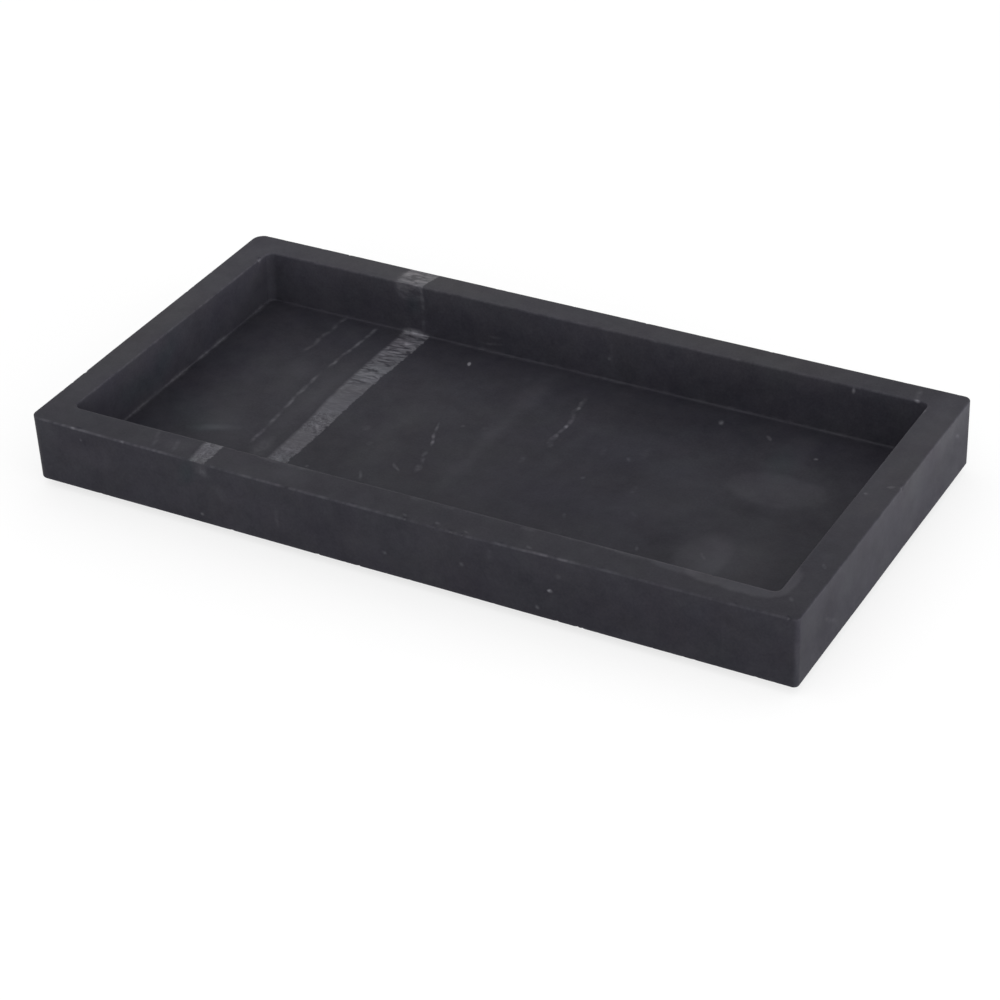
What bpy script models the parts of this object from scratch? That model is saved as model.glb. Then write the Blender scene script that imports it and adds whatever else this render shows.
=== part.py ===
# A stone tray for a vanity or a bathroom shelf: one block of black marble with a milled pocket,
# standing on four self-adhesive silicone feet.
# Run it with: blender --background --python part.py
# Units are metres and +Z is up. The origin is the middle of the footprint, on the surface that the
# feet stand on. X runs along the tray, from left to right, and Y from front to back.

import math

import bmesh
import bpy
from mathutils import Vector

MM = 0.001

# The block, as sawn and honed
TRAY_LENGTH = 300 * MM
TRAY_WIDTH = 150 * MM
TRAY_HEIGHT = 25 * MM
BLOCK_CORNER_RADIUS = 4 * MM
# Every outer edge, and the pocket's upper one, is rubbed down by hand to this arris
ARRIS = 0.7 * MM

# The pocket, which is milled a little off centre, so that each wall has its own thickness
WALL_FRONT = 13 * MM
WALL_BACK = 10.5 * MM
WALL_LEFT = 12.5 * MM
WALL_RIGHT = 11.5 * MM
FLOOR_THICKNESS = 5 * MM
# The milling cutter leaves its own radius in the corners, and its nose radius along the floor
CUTTER_RADIUS = 4 * MM
CUTTER_NOSE_RADIUS = 1 * MM
# How far the cutter stands out of the block where it enters
CUTTER_OVERRUN = 5 * MM

# The silicone feet: a flat top, an upright band below it, and a rounded edge down to the contact face
FOOT_DIAMETER = 12 * MM
FOOT_CONTACT_DIAMETER = 8.5 * MM
FOOT_HEIGHT = 2 * MM
FOOT_BAND = 0.6 * MM
# From the block's outer faces to a foot's axis
FOOT_INSET = 18 * MM

# The die-cut disc of double-sided tape between each foot and the stone
TAPE_DIAMETER = 11 * MM
TAPE_THICKNESS = 0.4 * MM

# Left between pieces that touch
SEAT_GAP = 0.3 * MM
# Points closer than this are one
WELD = 0.01 * MM

# How finely round shapes are divided
CORNER_SEGMENTS = 8
NOSE_SEGMENTS = 4
ARRIS_SEGMENTS = 3
TURNED_SEGMENTS = 48
FOOT_EDGE_SEGMENTS = 6
# An edge with a sharper turn than this counts as an arris
ARRIS_LEAST_ANGLE = math.radians(60)

# Heights, from the surface upwards
TAPE_BOTTOM = FOOT_HEIGHT + SEAT_GAP
TRAY_BOTTOM = TAPE_BOTTOM + TAPE_THICKNESS + SEAT_GAP
POCKET_FLOOR = TRAY_BOTTOM + FLOOR_THICKNESS
TRAY_TOP = TRAY_BOTTOM + TRAY_HEIGHT

# Which way each foot lies from the middle, along X and along Y
CORNERS = {
    "front_left": (-1, -1),
    "front_right": (1, -1),
    "back_left": (-1, 1),
    "back_right": (1, 1),
}

# Colour as linear red, green and blue, and roughness
FINISHES = {
    "honed_black_marble": ((0.042, 0.040, 0.051), 0.55),
    "translucent_silicone": ((0.58, 0.60, 0.60), 0.45),
    "acrylic_tape": ((0.78, 0.77, 0.72), 0.60),
}


def clear_scene():
    for old in list(bpy.data.objects):
        bpy.data.objects.remove(old, do_unlink=True)


def new_collection(name):
    collection = bpy.data.collections.new(name)
    bpy.context.scene.collection.children.link(collection)
    return collection


def new_material(name):
    colour, roughness = FINISHES[name]
    material = bpy.data.materials.new(name)
    material.use_nodes = True
    shader = material.node_tree.nodes["Principled BSDF"]
    shader.inputs["Base Color"].default_value = (*colour, 1)
    shader.inputs["Roughness"].default_value = roughness
    shader.inputs["Metallic"].default_value = 0
    material.diffuse_color = (*colour, 1)
    return material


def new_object(name, bm, collection, material=None):
    mesh = bpy.data.meshes.new(name)
    bm.to_mesh(mesh)
    bm.free()
    mesh.shade_smooth()
    if material:
        mesh.materials.append(material)
    made = bpy.data.objects.new(name, mesh)
    collection.objects.link(made)
    return made


def upright_edges(bm):
    return [e for e in bm.edges if abs(e.verts[0].co.z - e.verts[1].co.z) > WELD]


def lowest_rim(bm):
    lowest = min(v.co.z for v in bm.verts)
    return [e for e in bm.edges if all(v.co.z < lowest + WELD for v in e.verts)]


# A box between two corners, whose upright edges are rounded
def rounded_block(low, high, corner_radius):
    bm = bmesh.new()
    bmesh.ops.create_cube(bm, size=1)
    bmesh.ops.scale(bm, vec=high - low, verts=bm.verts)
    bmesh.ops.translate(bm, vec=(low + high) / 2, verts=bm.verts)
    bmesh.ops.bevel(
        bm,
        geom=upright_edges(bm),
        offset=corner_radius,
        segments=CORNER_SEGMENTS,
        profile=0.5,
        affect="EDGES",
    )
    return bm


# The shape that the milling cutter sweeps: round corners, and a nose radius round its lower face
def pocket_cutter(collection):
    low = Vector((
        -TRAY_LENGTH / 2 + WALL_LEFT,
        -TRAY_WIDTH / 2 + WALL_FRONT,
        POCKET_FLOOR,
    ))
    high = Vector((
        TRAY_LENGTH / 2 - WALL_RIGHT,
        TRAY_WIDTH / 2 - WALL_BACK,
        TRAY_TOP + CUTTER_OVERRUN,
    ))
    bm = rounded_block(low, high, CUTTER_RADIUS)
    bmesh.ops.bevel(
        bm,
        geom=lowest_rim(bm),
        offset=CUTTER_NOSE_RADIUS,
        segments=NOSE_SEGMENTS,
        profile=0.5,
        affect="EDGES",
    )
    cutter = new_object("pocket_cutter", bm, collection)
    cutter.hide_render = True
    cutter.display_type = "WIRE"
    return cutter


# The block, less the pocket, with every sharp edge that is left rubbed down to an arris
def stone_tray(parts, cutters, material):
    low = Vector((-TRAY_LENGTH / 2, -TRAY_WIDTH / 2, TRAY_BOTTOM))
    high = Vector((TRAY_LENGTH / 2, TRAY_WIDTH / 2, TRAY_TOP))
    tray = new_object("stone_tray", rounded_block(low, high, BLOCK_CORNER_RADIUS), parts, material)

    pocket = tray.modifiers.new("pocket", "BOOLEAN")
    pocket.operation = "DIFFERENCE"
    pocket.solver = "EXACT"
    pocket.object = pocket_cutter(cutters)

    arris = tray.modifiers.new("arris", "BEVEL")
    arris.width = ARRIS
    arris.segments = ARRIS_SEGMENTS
    arris.limit_method = "ANGLE"
    arris.angle_limit = ARRIS_LEAST_ANGLE

    tray.modifiers.new("flat_faces_stay_flat", "WEIGHTED_NORMAL")
    return tray


# Half the foot's section, from the middle of its top, down the outer side, to the middle of its base
def foot_profile():
    top_radius = FOOT_DIAMETER / 2
    contact_radius = FOOT_CONTACT_DIAMETER / 2
    edge_height = FOOT_HEIGHT - FOOT_BAND
    points = [(0, FOOT_HEIGHT), (top_radius, FOOT_HEIGHT)]
    for step in range(FOOT_EDGE_SEGMENTS + 1):
        turn = math.radians(90) * step / FOOT_EDGE_SEGMENTS
        x = contact_radius + (top_radius - contact_radius) * math.cos(turn)
        z = edge_height * (1 - math.sin(turn))
        points.append((x, z))
    points.append((0, 0))
    return points


def foot_mesh(material):
    bm = bmesh.new()
    verts = [bm.verts.new((x, 0, z)) for x, z in foot_profile()]
    for upper, lower in zip(verts, verts[1:]):
        bm.edges.new((upper, lower))
    mesh = bpy.data.meshes.new("foot_profile")
    bm.to_mesh(mesh)
    bm.free()
    mesh.materials.append(material)
    return mesh


def tape_mesh(material):
    bm = bmesh.new()
    bmesh.ops.create_cone(
        bm,
        cap_ends=True,
        segments=TURNED_SEGMENTS,
        radius1=TAPE_DIAMETER / 2,
        radius2=TAPE_DIAMETER / 2,
        depth=TAPE_THICKNESS,
    )
    mesh = bpy.data.meshes.new("tape_disc")
    bm.to_mesh(mesh)
    bm.free()
    mesh.shade_smooth()
    mesh.set_sharp_from_angle(angle=ARRIS_LEAST_ANGLE)
    mesh.materials.append(material)
    return mesh


def corner_place(corner, height):
    along, across = CORNERS[corner]
    return (
        along * (TRAY_LENGTH / 2 - FOOT_INSET),
        across * (TRAY_WIDTH / 2 - FOOT_INSET),
        height,
    )


# One foot, turned from the shared profile, standing on the surface
def silicone_foot(corner, mesh, parts):
    foot = bpy.data.objects.new("foot_" + corner, mesh)
    foot.location = corner_place(corner, 0)
    parts.objects.link(foot)
    turning = foot.modifiers.new("turning", "SCREW")
    turning.axis = "Z"
    turning.angle = math.radians(360)
    turning.steps = TURNED_SEGMENTS
    turning.render_steps = TURNED_SEGMENTS
    turning.use_merge_vertices = True
    turning.merge_threshold = WELD
    turning.use_smooth_shade = True
    return foot


# One disc of tape, between its foot and the stone
def adhesive_disc(corner, mesh, parts):
    disc = bpy.data.objects.new("adhesive_" + corner, mesh)
    disc.location = corner_place(corner, TAPE_BOTTOM + TAPE_THICKNESS / 2)
    parts.objects.link(disc)
    return disc


def build():
    clear_scene()
    parts = new_collection("stone vanity tray")
    cutters = new_collection("cutters")
    whole = bpy.data.objects.new("whole_tray", None)
    parts.objects.link(whole)

    pieces = [stone_tray(parts, cutters, new_material("honed_black_marble"))]
    profile = foot_mesh(new_material("translucent_silicone"))
    disc = tape_mesh(new_material("acrylic_tape"))
    for corner in CORNERS:
        pieces.append(silicone_foot(corner, profile, parts))
        pieces.append(adhesive_disc(corner, disc, parts))
    for piece in pieces:
        piece.parent = whole


build()
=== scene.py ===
import math

import bmesh
import bpy
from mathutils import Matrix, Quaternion, Vector, noise


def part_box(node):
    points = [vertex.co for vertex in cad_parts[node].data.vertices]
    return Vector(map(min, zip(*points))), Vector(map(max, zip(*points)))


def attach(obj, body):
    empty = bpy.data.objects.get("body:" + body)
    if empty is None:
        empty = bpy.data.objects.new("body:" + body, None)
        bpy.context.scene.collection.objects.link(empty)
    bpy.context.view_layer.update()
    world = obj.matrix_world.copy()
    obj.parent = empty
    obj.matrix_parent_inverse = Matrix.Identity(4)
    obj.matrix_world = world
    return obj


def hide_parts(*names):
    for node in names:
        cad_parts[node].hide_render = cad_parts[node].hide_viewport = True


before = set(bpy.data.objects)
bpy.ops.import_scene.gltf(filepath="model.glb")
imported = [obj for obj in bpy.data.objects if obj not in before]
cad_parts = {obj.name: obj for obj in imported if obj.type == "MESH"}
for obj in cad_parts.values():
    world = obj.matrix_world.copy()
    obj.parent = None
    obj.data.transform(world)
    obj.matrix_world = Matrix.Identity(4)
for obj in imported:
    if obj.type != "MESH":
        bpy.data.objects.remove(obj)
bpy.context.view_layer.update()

# The looks of a stone vanity tray: a block of honed black marble on four stuck-on silicone feet.
# Sizes in the dictionaries are millimetres. The frame and Blender work in metres.
mm = 0.001
print("frame loaded, with", len(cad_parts), "CAD nodes")


def toLinear(hexColour):  # "#rrggbb" as seen on a screen, to the linear values that a socket takes
    shares = [int(hexColour[i:i + 2], 16) / 255 for i in (1, 3, 5)]
    linear = [s / 12.92 if s <= 0.04045 else ((s + 0.055) / 1.055) ** 2.4 for s in shares]
    return (*linear, 1)


# One node with its settings, and its inputs by name or in their order: numbers, or other nodes' outputs
def addNode(tree, kind, settings={}, inputs={}, output=0):
    made = tree.nodes.new("ShaderNode" + kind)
    for name, choice in settings.items():
        setattr(made, name, choice)
    named = inputs if isinstance(inputs, dict) else dict(enumerate(inputs))
    for name, given in named.items():
        socket = next((one for one in made.inputs if one.identifier == name), None) or made.inputs[name]
        if isinstance(given, bpy.types.NodeSocket):
            tree.links.new(given, socket)
        else:
            socket.default_value = given
    return next((one for one in made.outputs if one.identifier == output), None) or made.outputs[output]


# Settings that many nodes share. A Map Range is eased between its ends, or runs on straight past them.
adding, multiplying = {"operation": "ADD"}, {"operation": "MULTIPLY"}
eased, unclamped = {"interpolation_type": "SMOOTHSTEP"}, {"clamp": False}
# Nearly all of a noise texture lies between the first two values, and most of it between the others
noiseSpan, noiseCore = (0.3, 0.7), (0.35, 0.65)


def newMaterial(name, fixed):  # fixed holds the shader's inputs that are the same all over the surface
    material = bpy.data.materials.new(name)
    material.use_nodes = True
    shader = material.node_tree.nodes["Principled BSDF"]
    for socket, value in fixed.items():
        shader.inputs[socket].default_value = value
    return material, material.node_tree, shader


def newPiece(name, bm, material, cadNode):  # in place already, so its object stays at the origin
    mesh = bpy.data.meshes.new(name)
    bm.to_mesh(mesh)
    bm.free()
    mesh.shade_smooth()
    mesh.materials.append(material)
    piece = bpy.data.objects.new(name, mesh)
    bpy.context.scene.collection.objects.link(piece)
    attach(piece, "root")
    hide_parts(cadNode)
    return piece


# Camera, where the photo was taken from. It comes first, and everything else is judged through it.
camera = {
    "lens": 111.03,
    "sensor": 36,
    "place": (478.4, -794.4, 597.6),
    "aim": (26.0, -44.7, 23.2),
    "roll": -3.553,                        # degrees, to the right of level
}


def makeCamera():
    data = bpy.data.cameras.new("cameraLens")
    data.lens = camera["lens"]
    data.sensor_width = camera["sensor"]
    data.clip_start = 10 * mm
    eye = bpy.data.objects.new("camera", data)
    eye.location = Vector(camera["place"]) * mm
    forward = Vector(camera["aim"]) - Vector(camera["place"])
    level = forward.to_track_quat("-Z", "Y")
    eye.rotation_mode = "QUATERNION"
    eye.rotation_quaternion = level @ Quaternion((0, 0, 1), math.radians(camera["roll"]))
    bpy.context.scene.collection.objects.link(eye)
    bpy.context.scene.camera = eye


makeCamera()
print("camera placed")


# The stone: one block, with a pocket milled in it
stoneTray = {
    "wallFront": 13.0,
    "wallBack": 10.5,
    "wallLeft": 12.5,
    "wallRight": 11.5,
    "floorThickness": 5.0,
    "coveRadius": 0.7,                     # the cutter's nose, left along the floor
    "arris": 0.3,                          # sharp edges rubbed down by hand
    "cornerSteps": 8,
    "arrisSteps": 3,
    "coveSteps": 4,
    "pointSpacing": 0.6,                   # along every edge
    "rowsFromArris": (0.9, 1.7, 3.2, 6.0),  # rows of points lie close together beside an arris
    "rimShares": (0.07, 0.14, 0.27, 0.5, 0.73, 0.86, 0.93),
    # Rows round the pocket's floor and the underside. The first is more than coveRadius, and the two
    # together are less than the least corner radius, so that no face is pinched or turned over.
    "marginSteps": (1.0, 0.5),
    # The four corners, here in the order front left, front right, back right, back left: their radii,
    # and how far saw and cutter ran off the square there, as moves along X and Y
    "blockRadii": (3.4, 1.9, 3.0, 4.4),
    "pocketRadii": (3.0, 2.8, 2.4, 3.0),
    "offTop": ((-0.05, 0), (-0.45, 0), (-1.1, 0), (1.3, 0)),
    "offBottom": ((0.8, 0.5), (0, 0.4), (-1.0, -1.7), (0.2, 0)),
    "offPocket": ((-2.15, 0.2), (-1.1, 1.55), (-2.0, 0.7), (1.0, -0.55)),
    "offFloor": ((-0.9, -0.28), (-0.9, 1.4), (-1.8, -2.1), (0.9, -2.3)),
    # The front's upper edge falls back towards both ends: X, and how far back it lies there
    "frontEdge": ((-150, 1.4), (-100, 1.05), (-70, 0.6), (-50, 0.4), (10, 0.4), (28, 0.2), (46, 0.9),
                  (62, 1.5), (84, 2.0), (120, 2.2), (150, 2.8)),
    "waver": 0.12,                         # how far the edges wander, and over what length
    "waverLength": 38.0,
    "waverInward": 0.5,                    # taken off outside, so that it stays within the block
    "underFloor": 0.5,                     # points this far below the pocket move with the outside
}


def stations(start, end, steps):  # from one arris to the next, close together near both
    way = math.copysign(1, end - start)
    ahead = [start + way * step for step in steps]
    back = [end - way * step for step in reversed(steps)]
    return [start, *ahead, *back, end]


# A closed loop of edges: a rounded rectangle at one height, with the same count of points in every loop
def addOutline(bm, low, high, radii, height):
    known = set(bm.edges)
    corners = bmesh.ops.create_grid(bm, x_segments=1, y_segments=1, size=0.5)["verts"]
    corners.sort(key=lambda v: math.atan2(v.co.y, v.co.x))
    bmesh.ops.scale(bm, vec=(high.x - low.x, high.y - low.y, 1), verts=corners)
    middle = (low + high) / 2
    bmesh.ops.translate(bm, vec=(middle.x, middle.y, height), verts=corners)
    for corner, radius in zip(corners, radii):
        rounded = bmesh.ops.bevel(
            bm, geom=[corner], offset=radius, segments=stoneTray["cornerSteps"],
            profile=0.5, affect="VERTICES", material=-1,
        )
    face = rounded["verts"][0].link_faces[0]
    sides = sorted(face.edges, key=lambda e: e.calc_length())[-4:]
    bmesh.ops.delete(bm, geom=[face], context="FACES_ONLY")
    for pair, length in ((sides[2:], blockHigh.x - blockLow.x), (sides[:2], blockHigh.y - blockLow.y)):
        bmesh.ops.subdivide_edges(bm, edges=pair, cuts=round(length / stoneTray["pointSpacing"]))
    return [e for e in bm.edges if e not in known]


# All of the stone's loops in turn, from under the block, up the outside, over the rim and down into the
# pocket, with the sharp ones named
def addStoneLoops(bm):
    t = stoneTray
    outer, inner = t["blockRadii"], t["pocketRadii"]
    bottom, top, floor = blockLow.z, blockHigh.z, pocketLow.z
    loops, sharp = [], {"underBlock": 0}
    for height in stations(bottom, top, t["rowsFromArris"]):
        loops.append(addOutline(bm, blockLow, blockHigh, outer, height))
    sharp["outerRim"] = len(loops) - 1
    for share in t["rimShares"]:
        low, high = blockLow.lerp(pocketLow, share), blockHigh.lerp(pocketHigh, share)
        radii = [one + (other - one) * share for one, other in zip(outer, inner)]
        loops.append(addOutline(bm, low, high, radii, top))
    sharp["pocketRim"] = len(loops)
    for height in stations(top, floor, t["rowsFromArris"]):
        loops.append(addOutline(bm, pocketLow, pocketHigh, inner, height))
    sharp["cove"] = len(loops) - 1
    return loops, sharp


# How far a point lies outside a rounded rectangle, less than zero inside it, and the way out
def fromOutline(point, low, high, radii):
    middle, half = (low + high) / 2, (high - low) / 2
    sideX = math.copysign(1, point.x - middle.x)
    sideY = math.copysign(1, point.y - middle.y)
    radius = radii[[(-1, -1), (1, -1), (1, 1), (-1, 1)].index((sideX, sideY))]
    overX = abs(point.x - middle.x) - half.x + radius
    overY = abs(point.y - middle.y) - half.y + radius
    if overX > 0 and overY > 0:
        return math.hypot(overX, overY) - radius, Vector((overX * sideX, overY * sideY, 0)).normalized()
    if overX > overY:
        return overX - radius, Vector((sideX, 0, 0))
    return overY - radius, Vector((0, sideY, 0))


# Years of handling: nicks along the arrises, and the pale bruising of the stone beside them
wear = {
    "reach": 3.0,                          # no point further than this from an arris is touched
    "plain": 0.08,                         # the rubbed arris: the sum of its distances from both faces
    "ragged": 0.18,                        # its small unevenness, and over what length
    "raggedLength": 1.2,
    "nickSpacing": 2.4,                    # the small nicks, their share of that, and their depth
    "nickShare": 0.34,
    "nickDepth": 1.5,
    "patchLength": 17.0,                   # nicks gather in patches, where this noise is high
    "patchNoise": (-0.15, 0.45),
    "chatter": 0.12,                       # unevenness along the edge of the pocket's floor
    "chatterLength": 4.0,
    "fineChatter": (1.1, 0.6),             # finer unevenness on top: its length, and its share
    "chatterReach": 1.05,                  # in cove radii
    "onEdge": 1.0,                         # a place this close to the upper front edge lies on it
    # The nicks that stand out: X, Y, how far each reaches along the edge, and its depth
    "nicks": (
        (-137.5, 58.0, 1.2, 1.3), (146.4, -75.0, 0.8, 0.9), (-129.4, -75.0, 1.8, 0.6),
        (-14.3, -75.0, 0.8, 0.7), (6.2, -75.0, 0.9, 0.8), (17.5, -75.0, 1.0, 0.6),
        (24.0, -75.0, 0.8, 0.8), (28.5, -75.0, 0.7, 0.7), (43.2, -75.0, 0.8, 0.7),
        (51.0, -75.0, 0.8, 0.5), (80.0, -75.0, 1.3, 0.5), (128.0, -75.0, 0.9, 0.6),
        (150.0, 10.8, 0.9, 0.8),
    ),
    # Where the front edge is bruised most: from X to X, and how much
    "bruised": ((-149.0, -88.0, 1.0), (-74.0, 8.0, 0.62), (20.0, 34.0, 0.5), (40.0, 74.0, 0.7),
                (74.0, 150.0, 0.4)),
    "bruiseEnds": 5.0,                     # over which each stretch fades
    "bruiseElsewhere": 0.3,
    "bruiseReach": (0.95, 0.2),            # from the arris: where it ends, and where it is full
    "fleckMean": 0.65,
    "flecks": ((1.3, 0.6), (5.0, 0.5)),    # their sizes, and how much each adds or takes
    "fleckMost": 1.2,
    "paleDepth": (0.35, 0.9),              # how deep a chip is that starts to be pale, and one that is
}


def smoothStep(value, start, end):
    share = min(max((value - start) / (end - start), 0), 1)
    return share * share * (3 - 2 * share)


def nickAt(place):  # how deep an arris is worn at a place along it
    patch = smoothStep(noise.noise(place / wear["patchLength"]), *wear["patchNoise"])
    nearest = noise.voronoi(place / wear["nickSpacing"])[0][0]
    depth = patch * max(0, wear["nickShare"] - nearest) * wear["nickDepth"]
    for x, y, reach, deep in wear["nicks"]:
        away = math.hypot(place.x - x, place.y - y) / reach
        if away < 1 and place.z > blockHigh.z - wear["onEdge"]:
            depth = max(depth, deep * (1 - away * away))
    ragged = wear["ragged"] * (0.5 + 0.5 * noise.noise(place / wear["raggedLength"]))
    return wear["plain"] + ragged + depth


def bruiseAt(place):  # how pale the stone beside an arris is
    strength = wear["bruiseElsewhere"]
    if place.y < blockLow.y + wear["onEdge"] and place.z > blockHigh.z - wear["onEdge"]:
        for start, end, much in wear["bruised"]:
            inside = min(place.x - start, end - place.x)
            strength = max(strength, much * smoothStep(inside, -wear["bruiseEnds"], wear["bruiseEnds"]))
    fleck = wear["fleckMean"]
    for size, share in wear["flecks"]:
        fleck += share * noise.noise(place / size)
    return strength * min(max(fleck, 0), wear["fleckMost"])


def roughenCove(bm):  # where the cutter chattered, along the edge of the pocket's floor
    fineLength, fineShare = wear["fineChatter"]
    for vert in bm.verts:
        away, outward = fromOutline(vert.co, pocketLow, pocketHigh, stoneTray["pocketRadii"])
        near = max(abs(away), abs(vert.co.z - pocketLow.z))
        if near < stoneTray["coveRadius"] * wear["chatterReach"]:
            push = noise.noise(vert.co / wear["chatterLength"])
            push += fineShare * noise.noise(vert.co / fineLength)
            vert.co += (Vector((0, 0, 1)) - outward) * push * wear["chatter"]


def wearArrises(bm):
    bruise = bm.verts.layers.float.new("bruise")
    outer = (blockLow, blockHigh, stoneTray["blockRadii"])
    pocket = (pocketLow, pocketHigh, stoneTray["pocketRadii"])
    # Each arris: its outline, the side of it that the stone is on, its height, and the way down into it
    arrises = ((outer, -1, blockHigh.z, -1), (pocket, 1, blockHigh.z, -1), (outer, -1, blockLow.z, 1))
    for vert in bm.verts:
        for outline, stoneSide, height, down in arrises:
            away, outward = fromOutline(vert.co, *outline)
            across, below = stoneSide * away, down * (vert.co.z - height)
            if max(abs(across), abs(below)) > wear["reach"]:
                continue
            place = vert.co - outward * away
            place.z = height
            short = nickAt(place) - across - below
            pale = bruiseAt(place) * smoothStep(across + below, *wear["bruiseReach"])
            if short > 0:
                vert.co += outward * stoneSide * short / 2
                vert.co.z += down * short / 2
                pale = max(pale, smoothStep(short, *wear["paleDepth"]))
            vert[bruise] = max(vert[bruise], pale)


def cornerMove(moves, alongX, alongY):  # between the moves of the four corners
    frontLeft, frontRight, backRight, backLeft = (Vector((*move, 0)) for move in moves)
    return frontLeft.lerp(frontRight, alongX).lerp(backLeft.lerp(backRight, alongX), alongY)


# How far a point of the block's outside, or of its pocket, lies from where it ought to be
def offSquare(point, inPocket):
    t, size = stoneTray, blockHigh - blockLow
    alongX, alongY, up = ((point[i] - blockLow[i]) / size[i] for i in range(3))
    if inPocket:
        deep = (blockHigh.z - point.z) / (blockHigh.z - pocketLow.z)
        floorMove = cornerMove(t["offFloor"], alongX, alongY)
        return cornerMove(t["offPocket"], alongX, alongY).lerp(floorMove, min(max(deep, 0), 1))
    up = min(max(up, 0), 1)
    move = cornerMove(t["offBottom"], alongX, alongY).lerp(cornerMove(t["offTop"], alongX, alongY), up)
    for (start, less), (end, more) in zip(t["frontEdge"], t["frontEdge"][1:]):
        if start <= point.x <= end:
            move.y += (less + (more - less) * smoothStep(point.x, start, end)) * up * (1 - alongY)
    return move


# Saw and cutter ran a little off the square, and the edges wander slightly
def runOffSquare(bm):
    t = stoneTray
    for vert in bm.verts:
        pocketMove, outerMove = offSquare(vert.co, True), offSquare(vert.co, False)
        outside, outward = fromOutline(vert.co, pocketLow, pocketHigh, t["pocketRadii"])
        inBlock = fromOutline(vert.co, blockLow, blockHigh, t["blockRadii"])[0]
        share = smoothStep(outside / (outside - inBlock), 0, 1)
        if vert.co.z < pocketLow.z - t["underFloor"]:
            share = 1
        drift = t["waver"] * (noise.noise(vert.co / t["waverLength"]) - t["waverInward"] * share)
        vert.co += pocketMove.lerp(outerMove, share) + outward * drift


def makeStone(material):
    bm = bmesh.new()
    loops, sharp = addStoneLoops(bm)
    for lower, upper in zip(loops, loops[1:]):
        bmesh.ops.bridge_loops(bm, edges=[*lower, *upper])
    for rim in (loops[0], loops[-1]):
        flat = bmesh.ops.edgeloop_fill(bm, edges=rim)["faces"]
        for step in stoneTray["marginSteps"]:
            bmesh.ops.inset_region(bm, faces=flat, thickness=step, use_even_offset=True)
    arrises = [e for name in ("underBlock", "outerRim", "pocketRim") for e in loops[sharp[name]]]
    coves = loops[sharp["cove"]]
    for edges, width, steps in ((arrises, stoneTray["arris"], stoneTray["arrisSteps"]),
                                (coves, stoneTray["coveRadius"], stoneTray["coveSteps"])):
        bmesh.ops.bevel(bm, geom=edges, offset=width, segments=steps, profile=0.5,
                        affect="EDGES", material=-1)
    bmesh.ops.recalc_face_normals(bm, faces=bm.faces)
    roughenCove(bm)
    wearArrises(bm)
    runOffSquare(bm)
    bmesh.ops.scale(bm, vec=(mm, mm, mm), verts=bm.verts)
    return newPiece("tray_of_marble", bm, material, "stone_tray")


blockLow, blockHigh = (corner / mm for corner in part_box("stone_tray"))
pocketLow = blockLow + Vector(
    (stoneTray["wallLeft"], stoneTray["wallFront"], stoneTray["floorThickness"]))
pocketHigh = blockHigh - Vector((stoneTray["wallRight"], stoneTray["wallBack"], 0))

# Honed black marble: dense and nearly even, with one pale calcite vein as wide as a finger, and broken
# ones as fine as a hair. Honing takes the polish off, so what the stone mirrors is dim and blurred.
marble = {
    "darkest": "#27262d",
    "pale": "#b4b3bb",
    "greenTint": "#eafffb",                # at the edges of some veins
    "brownTint": "#fffef6",                # on the rim, where hands have been
    "violetTint": "#f6f6ff",               # in the middle of the floor
    "specular": 0.08,                      # a honed face mirrors little
    "roughness": (0.40, 0.50),
    "bruisedRoughness": 0.8,
    "groundPaleness": 0.02,                # between the two colours above
    "bruisePaleness": 0.12,
    # Cloudiness of the ground: size, detail, and how much paleness it adds or takes
    "mottling": ((42.0, 3.0, 0.006), (9.0, 4.0, 0.0065), (3.0, 2.0, 0.004), (0.9, 2.0, 0.006)),
    "hueChange": (14.0, 0.08),             # size, and how far each of the three colours goes
    # Painted sheen: the whole tone grows paler towards the back and the left, standing in for the
    # stone's dim reflection, which grows where it is seen more slantwise. It also grows paler upwards.
    "paintedSheenSlope": (-0.0004, 0.0013, 0.003),     # how the whole tone changes for each mm along X, Y and Z
    "paintedSheenFrom": (0.0, 0.0, 18.0),
    "fineWobble": (3.5, 1.1),              # how far marks are pushed about: size of the waves, and reach
    "coarseWobble": (16.0, 5.0),
    "polishSize": 14.0,                    # honed more and less, in patches of this size
    "bump": (0.05, 0.3),                   # strength and depth
    "stretch": 0.56,                       # of a mark's length, so that its stretches overlap
    # The main vein is a slab that leans over. At the pocket floor its edges run along these lines, each
    # given as X, and then where along Y it starts to move and where it ends, and how far it moves
    "veinRight": (-67.0, (15.0, 65.0, 2.0), (66.0, 75.0, 1.5), (-20.0, -40.0, -0.8)),
    "veinLeft": (-77.1, (30.0, 60.0, 0.7), (12.0, -12.0, 1.6), (-60.0, -74.0, 1.6)),
    "veinLean": (0.253, -0.00148),         # along X for each mm up, and how that changes along Y
    "rightFade": (-0.25, 0.45),            # how sharply it ends: outside the edge, and inside
    "leftFade": (-0.9, 1.1),
    "veinRoughness": 0.35,                 # of its right edge
    "veinPaleness": 0.138,
    "leastPaleness": 0.02,
    "veinFibres": (8.0, 2.4, 3.0),         # their sizes along X, Y and Z
    "fibreSlant": -0.10,
    "fibreContrast": 0.15,
    "veinCrinkles": 1.6,
    "twisting": (1.3, 1.2),                # of the fibres, and of the crinkles
    # How strong the fibres and the crinkles are, given in the way of the vein's edges
    "fibresAlong": (0.25, (8.0, 36.0, 0.85)),
    "crinklesAlong": (0.0, (4.0, -4.0, 0.6), (-12.0, -18.0, -0.45), (-24.0, -29.0, 0.4)),
    "lying": (0.3, 0.8),                   # how far a normal points up: on a wall, on a lying face
    "wallShare": 0.03,                     # of the vein's paleness on upright faces, which show it faintly, and more near their top
    "wallTopShare": 0.36,
    "wallTop": (20.0, 28.0),
    "frontShare": 0.15,                    # and less again on the block's front
    "fromFront": (-73.0, -60.0),           # along Y: still on the front, and behind it
    "brokenness": (2.8, 0.45, 1.4),        # of fine veins: the size of the breaks, least and most share
}


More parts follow.
